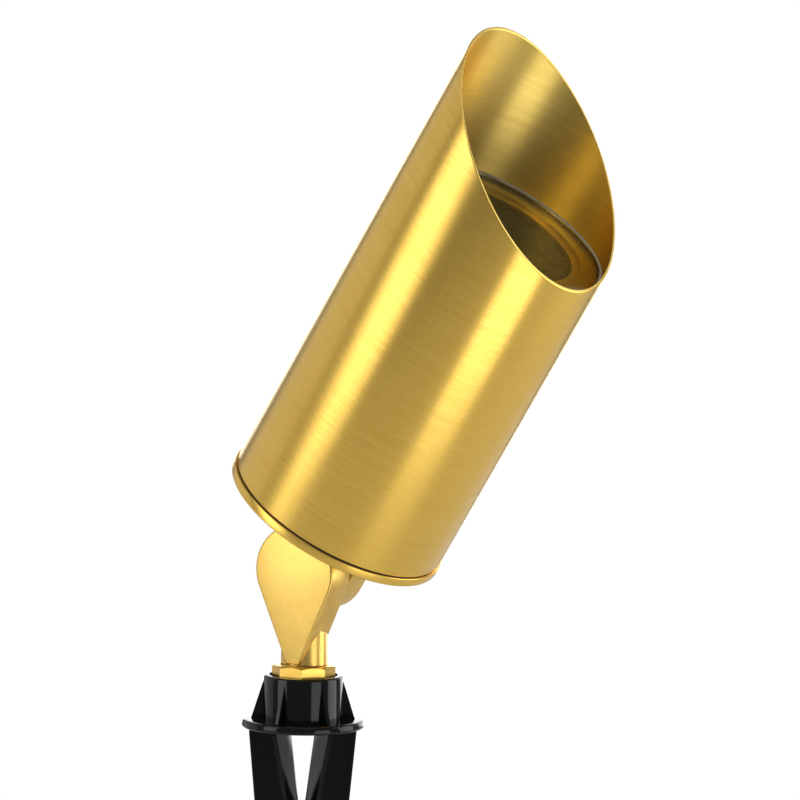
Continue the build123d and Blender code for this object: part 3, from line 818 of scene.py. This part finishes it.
class FinishBook:
    """Every finish of the object, by the name of its slot in the record."""

    def __init__(self, head: HeadAxis) -> None:
        upright = HeadAxis(Vector((0, 0, 0)), 0.0)
        finishes = (
            CastBrass("brass_cast"),
            GlossPlastic("spike_plastic"),
            GlossPlastic("optic", (0.006, 0.006, 0.006), (0.02, 0.02, 0.02), (0.22, 0.34), 0.22),
            MattSolid("rubber", (0.018, 0.018, 0.019), (0.032, 0.032, 0.033), (0.55, 0.8)),
            MattSolid("driver_case", (0.035, 0.036, 0.04), (0.06, 0.06, 0.065), (0.4, 0.6)),
            MattSolid("thermal_pad", (0.30, 0.34, 0.40), (0.38, 0.42, 0.47), (0.7, 0.9), 0.0007),
            MattSolid("lead_insulation", (0.45, 0.02, 0.02), (0.33, 0.015, 0.015), (0.35, 0.5)),
            MattSolid("led_phosphor", (0.86, 0.62, 0.06), (0.78, 0.52, 0.04), (0.3, 0.5), 0.0003),
            MattSolid("white_plastic", (0.80, 0.80, 0.78), (0.72, 0.72, 0.69), (0.4, 0.55)),
            MattSolid("black_plastic", (0.015, 0.015, 0.016), (0.026, 0.026, 0.028), (0.35, 0.55)),
            MattSolid(
                "reflector", (0.05, 0.05, 0.05), (0.09, 0.09, 0.09), (0.25, 0.4), 0.0003, metallic=0.8),
            TurnedMetal("stainless", upright, (0.72, 0.71, 0.69), (0.52, 0.51, 0.5)),
            TurnedMetal("aluminium", head, (0.86, 0.86, 0.87), (0.68, 0.68, 0.7)),
            ClearGlass("glass"),
            Silicone("silicone"),
        )
        self.slots = {finish.name: finish.make() for finish in finishes}
        self.slots["brass"] = self.slots.pop("brass_cast")
        self.drawn = BrushedBrass("brass_drawn", head, inner_radius=0.05).make()
        self.turned_head = BrushedBrass(
            "brass_turned_head", head, line_width=0.0003, line_run=0.03, anisotropy=0.55).make()
        self.turned_stem = BrushedBrass(
            "brass_turned_stem", upright, line_width=0.0003, line_run=0.02, anisotropy=0.45,
            roughness=(0.26, 0.36)).make()


# The object


@dataclass
class Assembly:
    """What every sub-assembly needs: the frame, the bench, the head's axis and the finishes."""

    frame: Mapping[str, Any]
    bench: Bench
    head: HeadAxis
    book: FinishBook

    def deliver(self, obj: Thing, body: str, slot: str, node: str, finish: Material | None) -> None:
        """Dresses a finished piece and hands it to the frame in place of its node.

        Args:
            obj: The piece, in place.
            body: The body that it rides on.
            slot: The record's slot that its finish belongs to.
            node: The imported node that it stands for.
            finish: Its material, or None for the slot's own.
        """
        obj.data.materials.clear()
        obj.data.materials.append(finish or self.book.slots[slot])
        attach(obj, body)
        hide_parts(node)
        LOG.info("%s: %d faces, on %s", obj.name, len(obj.data.polygons), body)

    def surface(
        self, node: str, name: str, body: str, slot: str, finish: Material | None = None
    ) -> None:
        """Delivers a smooth-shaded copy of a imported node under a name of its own."""
        obj = self.bench.settle(self.bench.copy_of(node, name, self.frame))
        self.deliver(obj, body, slot, node, finish)


@dataclass
class OnHead(Assembly):
    """A sub-assembly whose pieces are turned on Z, then laid along the head's axis."""

    body: str = "head"

    def span(self, node: str) -> Span:
        """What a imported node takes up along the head's axis."""
        return self.head.span(self.frame, node)

    def mount(self, obj: Thing, slot: str, node: str, finish: Material | None = None) -> None:
        """Lays a turned piece along the head's axis and delivers it."""
        self.deliver(self.bench.settle(obj, self.head.matrix), self.body, slot, node, finish)


@dataclass
class Cowl(OnHead):
    """The slant-cut tube with the glass that it carries. It turns on the cap's spigot."""

    body: str = "cowl"
    tip: float = 230.0
    short_lip: float = 160.0
    mouth_turn: float = 1.5
    sides: int = 256
    lip_bevel: float = 0.38
    lip_facets: int = 3
    glass_bevel: float = 0.3
    land_reach: float = 3.5
    land_drop: float = 1.7
    seat_bevel: float = 0.25
    seat_facets: int = 2
    gasket_width: float = 0.35

    def build(self) -> None:
        """Builds every piece that the tube carries."""
        self.tube()
        self.seat()
        self.gasket()
        self.glass()

    def tube(self) -> None:
        """Builds a turned tube, its upper ring set on the slant, with a fine break round the lip."""
        span = self.span("cowl_tube")
        profile = [
            (span.outer, span.low), (span.outer, self.tip), (span.inner, self.tip),
            (span.inner, span.low)]
        obj = self.bench.turned("drawn_tube", profile, self.sides)
        middle = (self.tip + self.short_lip) / 2
        slope = (self.tip - self.short_lip) / (2 * span.outer)
        turn = math.radians(self.mouth_turn)
        for vertex in obj.data.vertices:
            if vertex.co.z > middle * MM:
                reach = vertex.co.x * math.cos(turn) - vertex.co.y * math.sin(turn)
                vertex.co.z = middle * MM - slope * reach
        sharp = self.bench.sharp_angle
        self.bench.bevel(obj, self.lip_bevel, self.lip_facets, lambda e: e.calc_face_angle(0) > sharp)
        self.mount(obj, "brass", "cowl_tube", self.book.drawn)

    def seat(self) -> None:
        """Builds the stepped ring that carries the glass."""
        span = self.span("lens_seat")
        land = span.low + self.land_drop
        step = span.inner + self.land_reach
        ease = self.seat_bevel
        profile = eased([
            (span.inner, span.low, 0), (span.outer, span.low, ease), (span.outer, span.high, ease),
            (step, span.high, ease), (step, land, 0), (span.inner, land, 0)], self.seat_facets)
        obj = self.bench.turned("glass_seat_ring", profile)
        self.mount(obj, "brass", "lens_seat", self.book.turned_head)

    def gasket(self) -> None:
        """Builds the flat ring under the glass."""
        span = self.span("lens_gasket")
        profile = band(span.outer - self.gasket_width, span.outer, span.low, span.high)
        self.mount(self.bench.turned("glass_gasket", profile), "rubber", "lens_gasket")

    def glass(self) -> None:
        """Builds the glass, with its ground edge."""
        span = self.span("lens_glass")
        edge = self.glass_bevel
        profile = [
            (0, span.low), (span.outer - edge, span.low), (span.outer, span.low + edge),
            (span.outer, span.high - edge), (span.outer - edge, span.high), (0, span.high)]
        self.mount(self.bench.turned("front_glass", profile), "glass", "lens_glass")


@dataclass
class Sealant(OnHead):
    """The bead round the glass, laid by hand, so that its inner edge wanders."""

    body: str = "cowl"
    width: float = 0.95
    leg: float = 0.6
    crest: Point2 = (0.6, 0.35)
    toe: float = 0.3
    toe_height: float = 0.7
    sides: int = 360
    wall_gap: float = 0.1
    sway_share: float = 0.7
    waves: tuple[tuple[float, float, float], ...] = (
        (3, 0.25, 0.4), (7, 0.30, 2.1), (11, 0.18, 4.0), (19, 0.15, 1.2), (31, 0.09, 5.1))

    def build(self) -> None:
        """Builds the bead. Its waves are (count round the ring, size, phase)."""
        span = self.span("lens_bead")
        inner = span.outer - self.width
        crest = (span.outer - self.crest[0] * self.width, span.low + self.crest[1] * self.leg)
        profile = [
            (inner, span.low), (span.outer, span.low), (span.outer, span.low + self.leg),
            (span.outer - self.toe, span.low + self.toe_height * self.leg), crest]
        obj = self.bench.turned("sealant_bead", profile, self.sides)
        wall = (span.outer - self.wall_gap) * MM
        for vertex in obj.data.vertices:
            radius = math.hypot(vertex.co.x, vertex.co.y)
            if radius > wall:
                continue
            angle = math.atan2(vertex.co.y, vertex.co.x)
            sway = sum(size * math.sin(count * angle + phase) for count, size, phase in self.waves)
            share = (wall - radius) / (wall - inner * MM)
            scale = (radius + sway * share * self.sway_share * MM) / radius
            vertex.co.x *= scale
            vertex.co.y *= scale
        self.mount(obj, "silicone", "lens_bead")


@dataclass
class Optics(OnHead):
    """The dark optic with its fine rings, under the glass."""

    ring_count: int = 22
    ring_depth: float = 0.5
    ring_slope: float = 0.85
    hub_radius: float = 4.0
    rim_width: float = 1.0

    def build(self) -> None:
        """Builds the optic."""
        span = self.span("optic")
        pitch = (span.outer - self.hub_radius - self.rim_width) / self.ring_count
        top: list[Point2] = []
        for ring in range(self.ring_count, 0, -1):
            radius = self.hub_radius + ring * pitch
            top.append((radius, span.high))
            top.append((radius - pitch * self.ring_slope, span.high - self.ring_depth))
        profile = [
            (0, span.low), (span.outer, span.low), (span.outer, span.high), *top,
            (self.hub_radius, span.high), (0, span.high)]
        obj = self.bench.turned("ringed_optic", profile)
        self.mount(obj, "optic", "optic")


@dataclass
class RearCap(OnHead):
    """The round cap with its spigot, and the seal in the joint above it."""

    edge_round: float = 0.8
    top_break: float = 0.35
    floor: float = 4.2
    spigot_gap: float = 0.06
    spigot_wall: float = 5.4
    sides: int = 256

    def build(self) -> None:
        """Builds the cap and its seal."""
        span = self.span("rear_cap")
        rim, ease = span.outer, self.top_break
        spigot = self.span("cowl_tube").inner - self.spigot_gap
        inner = spigot - self.spigot_wall
        profile = eased([
            (0, span.low, 0), (rim, span.low, self.edge_round), (rim, self.floor, ease),
            (spigot, self.floor, 0), (spigot, span.high, ease), (inner, span.high, ease),
            (inner, self.floor, 0), (0, self.floor, 0)])
        cap = self.bench.turned("round_cap", profile, self.sides)
        self.mount(cap, "brass", "rear_cap", self.book.turned_head)
        seal = self.span("cap_seal")
        ring = self.bench.turned("joint_seal", band(seal.inner, seal.outer, seal.low, seal.high))
        self.mount(ring, "rubber", "cap_seal")


@dataclass
class Knuckle(Assembly):
    """The stem's leaf and the head's ear, with the screw that clamps them."""

    pivot_height: float = 71.0
    leaf_radius: float = 20.4
    leaf_front: float = -9.3
    leaf_back: float = 6.2
    leaf_round: float = 1.0
    leaf_facets: int = 4
    leaf_steps: int = 96
    tip_height: float = 28.8
    tip_half: float = 3.5
    neck_radius: float = 10.65
    neck_front: float = 9.05
    neck_foot: float = 28.3
    neck_foot_break: Point2 = (0.3, 0.4)
    neck_foot_slack: float = 0.1
    neck_top: float = 44.0
    neck_spare: float = 6.0
    neck_sides: int = 128
    shoulder_slope: float = 0.33
    shoulder_break: float = 0.7
    shoulder_facets: int = 3
    shoulder_drop: float = 5.0
    thread_radius: float = 10.45
    thread_depth: float = 0.7
    thread_pitch: float = 1.8
    thread_turns: int = 13
    thread_start: float = 2.5
    stem_end: float = 2.0
    bore_radius: float = 7.4
    bore_top: float = 37.8
    pin_radius: float = 4.1
    pin_end: float = -5.2
    pin_spare: float = 1.0
    pin_sides: int = 64

    def build(self) -> None:
        """Builds the castings and the small parts between them."""
        self.deliver(self.stem_casting(), "stem", "brass", "stem_knuckle", None)
        self.surface("head_knuckle", "head_casting", "head", "brass")
        self.surface("pivot_washer", "friction_washer", "stem", "rubber")
        self.surface("pivot_screw", "knuckle_screw", "pivot_screw", "stainless")
        self.surface("spring_washer", "split_washer", "head", "stainless")
        self.surface("foot_gasket", "foot_seal", "head", "rubber")
        self.surface("foot_screws", "foot_fasteners", "head", "stainless")

    def leaf(self) -> Thing:
        """The teardrop: a round eye drawn down to a narrow tip, with a soft edge all round.

        Returns:
            The closed plate, which becomes the stem's casting.
        """
        drop = self.pivot_height - self.tip_height
        reach = math.hypot(self.tip_half, drop)
        start = math.degrees(math.acos(self.leaf_radius / reach) - math.atan2(drop, self.tip_half))
        eye = arc((0, self.pivot_height), self.leaf_radius, start, 180 - start, self.leaf_steps)
        outline = [(-self.tip_half, self.tip_height), (self.tip_half, self.tip_height), *eye]
        obj = self.bench.plate("stem_casting", outline, self.leaf_front, self.leaf_back)
        rims = (self.leaf_front * MM, self.leaf_back * MM)
        gap = self.bench.merge_gap

        def on_rim(edge: Any) -> bool:
            """Whether an edge lies in the front or the back face."""
            return any(all(abs(v.co.y - rim) < gap for v in edge.verts) for rim in rims)

        self.bench.bevel(obj, self.leaf_round, self.leaf_facets, on_rim)
        return obj

    def neck_profile(self) -> list[Point2]:
        """Half the section of the neck and of the threaded stem, with its bore.

        Returns:
            The (radius, height) points, from the axis to the axis.
        """
        top = self.neck_top + self.neck_spare
        side, rise = self.neck_foot_break
        root = self.thread_radius - self.thread_depth
        profile: list[Point2] = [
            (0, top), (self.neck_radius, top), (self.neck_radius, self.neck_foot + rise),
            (self.neck_radius - side, self.neck_foot)]
        for turn in range(self.thread_turns):
            height = self.neck_foot - self.thread_start - turn * self.thread_pitch
            profile += [(self.thread_radius, height), (root, height - self.thread_pitch / 2)]
        profile += [
            (root, self.stem_end), (self.bore_radius, self.stem_end),
            (self.bore_radius, self.bore_top), (0, self.bore_top)]
        return profile

    def neck(self) -> Thing:
        """The hollow threaded stem and its neck, a little flatter in front, cut to a slope on top.

        Returns:
            The closed solid.
        """
        obj = self.bench.turned("neck", self.neck_profile(), self.neck_sides)
        for vertex in obj.data.vertices:
            if vertex.co.y < 0 and vertex.co.z > (self.neck_foot - self.neck_foot_slack) * MM:
                vertex.co.y *= self.neck_front / self.neck_radius
        self.bench.open(obj)
        bpy.ops.mesh.select_all(action="SELECT")
        bpy.ops.mesh.bisect(
            plane_co=(0, 0, self.neck_top * MM), plane_no=(0, self.shoulder_slope, 1),
            clear_outer=True, use_fill=True)
        self.bench.close(obj)
        floor = (self.neck_top - self.shoulder_drop) * MM
        sharp = self.bench.sharp_angle

        def on_shoulder(edge: Any) -> bool:
            """Whether an edge is a sharp one near the top."""
            return edge.verts[0].co.z > floor and edge.calc_face_angle(0) > sharp

        self.bench.bevel(obj, self.shoulder_break, self.shoulder_facets, on_shoulder)
        return obj

    def stem_casting(self) -> Thing:
        """The leaf and the neck as one casting, drilled for the knuckle screw.

        Returns:
            The casting, in place.
        """
        bench = self.bench
        obj = self.leaf()
        bench.combine(obj, self.neck(), Join.UNION)
        length = self.leaf_back - self.pin_end + self.pin_spare
        middle = self.pin_end + length / 2
        bench.free()
        bpy.ops.mesh.primitive_cylinder_add(
            vertices=self.pin_sides, radius=self.pin_radius * MM, depth=length * MM,
            location=(0, middle * MM, self.pivot_height * MM), rotation=(math.pi / 2, 0, 0))
        bench.combine(obj, bpy.context.object, Join.CUT)
        return bench.settle(obj)


@dataclass
class Ground(Assembly):
    """The octagonal locknut and the moulded spike under it."""

    def build(self) -> None:
        """Builds the nut and the spike."""
        self.surface("locknut", "octagon_nut", "locknut", "brass", self.book.turned_stem)
        self.surface("ground_spike", "moulded_spike", "spike", "spike_plastic")


@dataclass
class InnerWorks(Assembly):
    """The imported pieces: those inside the head stay visible as they are."""

    def build(self) -> None:
        """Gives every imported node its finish."""
        slots = {part["node"]: part["material_slot"] for part in self.frame["record"]["subparts"]}
        for node, obj in self.frame["nodes"].items():
            material = self.book.slots[slots[node]]
            if not obj.material_slots:
                obj.data.materials.append(material)
            for slot in obj.material_slots:
                slot.material = material
            LOG.info("%s: %s", node, slots[node])


# The studio


@dataclass(frozen=True)
class SoftBox:
    """One soft light, aimed at the head. Angles are degrees, sizes and distance metres."""

    name: str
    azimuth: float
    elevation: float
    distance: float
    width: float
    height: float
    power: float


@dataclass
class Studio:
    """A pale floor, soft boxes and the camera at the photograph's angle."""

    aim: Vector = field(default_factory=lambda: Vector((0.049, 0.0, 0.15057)))
    camera_azimuth: float = 32.714
    camera_elevation: float = 6.417
    camera_roll: float = 0.859
    camera_distance: float = 3.54944
    lens: float = 361.8
    sensor: float = 36.0
    far_clip: float = 50.0
    floor_radius: float = 1.2
    floor_sides: int = 128
    floor_gap: float = 0.0005
    floor_clouds: Noise = Noise(3, 2)
    floor_colour: Colour = (0.80, 0.80, 0.79)
    floor_shade: Colour = (0.84, 0.84, 0.83)
    floor_roughness: float = 0.8
    floor_specular: float = 0.2
    backdrop: float = 1.0
    room: float = 0.22
    boxes: tuple[SoftBox, ...] = (
        SoftBox("left_box", -32, 10, 1.7, 0.90, 1.6, 9.2),
        SoftBox("left_fill", -88, 10, 1.6, 1.5, 1.6, 3.0),
        SoftBox("right_card", 69, -31, 0.52, 0.27, 0.36, 0.54),
        SoftBox("right_fill", 128, 6, 1.8, 1.2, 1.6, 14),
        SoftBox("back_box", 200, 8, 2.4, 3.0, 1.8, 36),
        SoftBox("top_box", 40, 72, 1.9, 1.6, 1.6, 5.6),
    )

    def build(self) -> None:
        """Builds the floor, the lights, the surroundings and the camera."""
        self.floor()
        for box in self.boxes:
            self.light(box)
        self.surroundings()
        self.camera()

    @staticmethod
    def direction(azimuth: float, elevation: float) -> Vector:
        """The direction from the object towards a place around it.

        Args:
            azimuth: Degrees from the front, towards the side that the head leans to.
            elevation: Degrees above the horizon.

        Returns:
            The direction as a unit vector.
        """
        turn, rise = math.radians(azimuth), math.radians(elevation)
        level = math.cos(rise)
        return Vector((math.sin(turn) * level, -math.cos(turn) * level, math.sin(rise)))

    def floor(self) -> None:
        """Builds the pale floor under the spike's tip."""
        low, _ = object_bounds()
        bpy.ops.object.select_all(action="DESELECT")
        bpy.ops.mesh.primitive_circle_add(
            vertices=self.floor_sides, radius=self.floor_radius, fill_type="NGON",
            location=(0, 0, low.z - self.floor_gap))
        obj = bpy.context.object
        obj.name = "pale_floor"
        graph = Graph("pale_floor")
        cloud = graph.noise(graph.place, self.floor_clouds)
        graph.surface({
            "Base Color": graph.blend(cloud, self.floor_colour, self.floor_shade),
            "Roughness": self.floor_roughness,
            "Specular IOR Level": self.floor_specular,
        })
        obj.data.materials.append(graph.material)
        obj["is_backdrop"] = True

    def light(self, box: SoftBox) -> None:
        """Hangs one soft box, which the camera doesn't see.

        Args:
            box: Where it hangs, its size and its power.
        """
        data = bpy.data.lights.new(box.name, "AREA")
        data.shape = "RECTANGLE"
        data.size = box.width
        data.size_y = box.height
        data.energy = box.power
        obj = bpy.data.objects.new(box.name, data)
        way = self.direction(box.azimuth, box.elevation)
        obj.location = self.aim + way * box.distance
        obj.rotation_euler = (-way).to_track_quat("-Z", "Y").to_euler()
        obj.visible_camera = False
        bpy.context.scene.collection.objects.link(obj)

    def surroundings(self) -> None:
        """Sets white behind the object, and a dimmer room in what it reflects."""
        world = bpy.data.worlds.new("studio")
        world.use_nodes = True
        nodes, links = world.node_tree.nodes, world.node_tree.links
        ray = nodes.new("ShaderNodeLightPath").outputs["Is Camera Ray"]
        shade = nodes.new("ShaderNodeMapRange")
        shade.inputs["To Min"].default_value = self.room
        shade.inputs["To Max"].default_value = self.backdrop
        links.new(ray, shade.inputs["Value"])
        background = next(n for n in nodes if n.type == "BACKGROUND")
        background.inputs["Color"].default_value = (1.0, 1.0, 1.0, 1)
        links.new(shade.outputs["Result"], background.inputs["Strength"])
        bpy.context.scene.world = world
        bpy.context.scene.view_settings.view_transform = "Standard"
        bpy.context.scene.view_settings.look = "None"

    def camera(self) -> None:
        """Sets the camera at the photograph's angle and distance."""
        data = bpy.data.cameras.new("camera")
        data.lens = self.lens
        data.sensor_width = self.sensor
        data.clip_end = self.far_clip
        data.dof.use_dof = False
        obj = bpy.data.objects.new("camera", data)
        way = self.direction(self.camera_azimuth, self.camera_elevation)
        look = (-way).to_track_quat("-Z", "Y").to_matrix().to_4x4()
        roll = Matrix.Rotation(math.radians(self.camera_roll), 4, "Z")
        obj.matrix_world = Matrix.Translation(self.aim + way * self.camera_distance) @ look @ roll
        bpy.context.scene.collection.objects.link(obj)
        bpy.context.scene.camera = obj


def main() -> None:
    """Builds the object around its frame, then the studio."""
    logging.basicConfig(level=logging.INFO, format="%(name)s %(message)s")
    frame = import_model()
    head = HeadAxis.read(frame)
    book = FinishBook(head)
    bench = Bench()
    for kind in (InnerWorks, Cowl, Sealant, Optics, RearCap, Knuckle, Ground):
        kind(frame, bench, head, book).build()
    Studio().build()


if __name__ == "__main__":
    main()
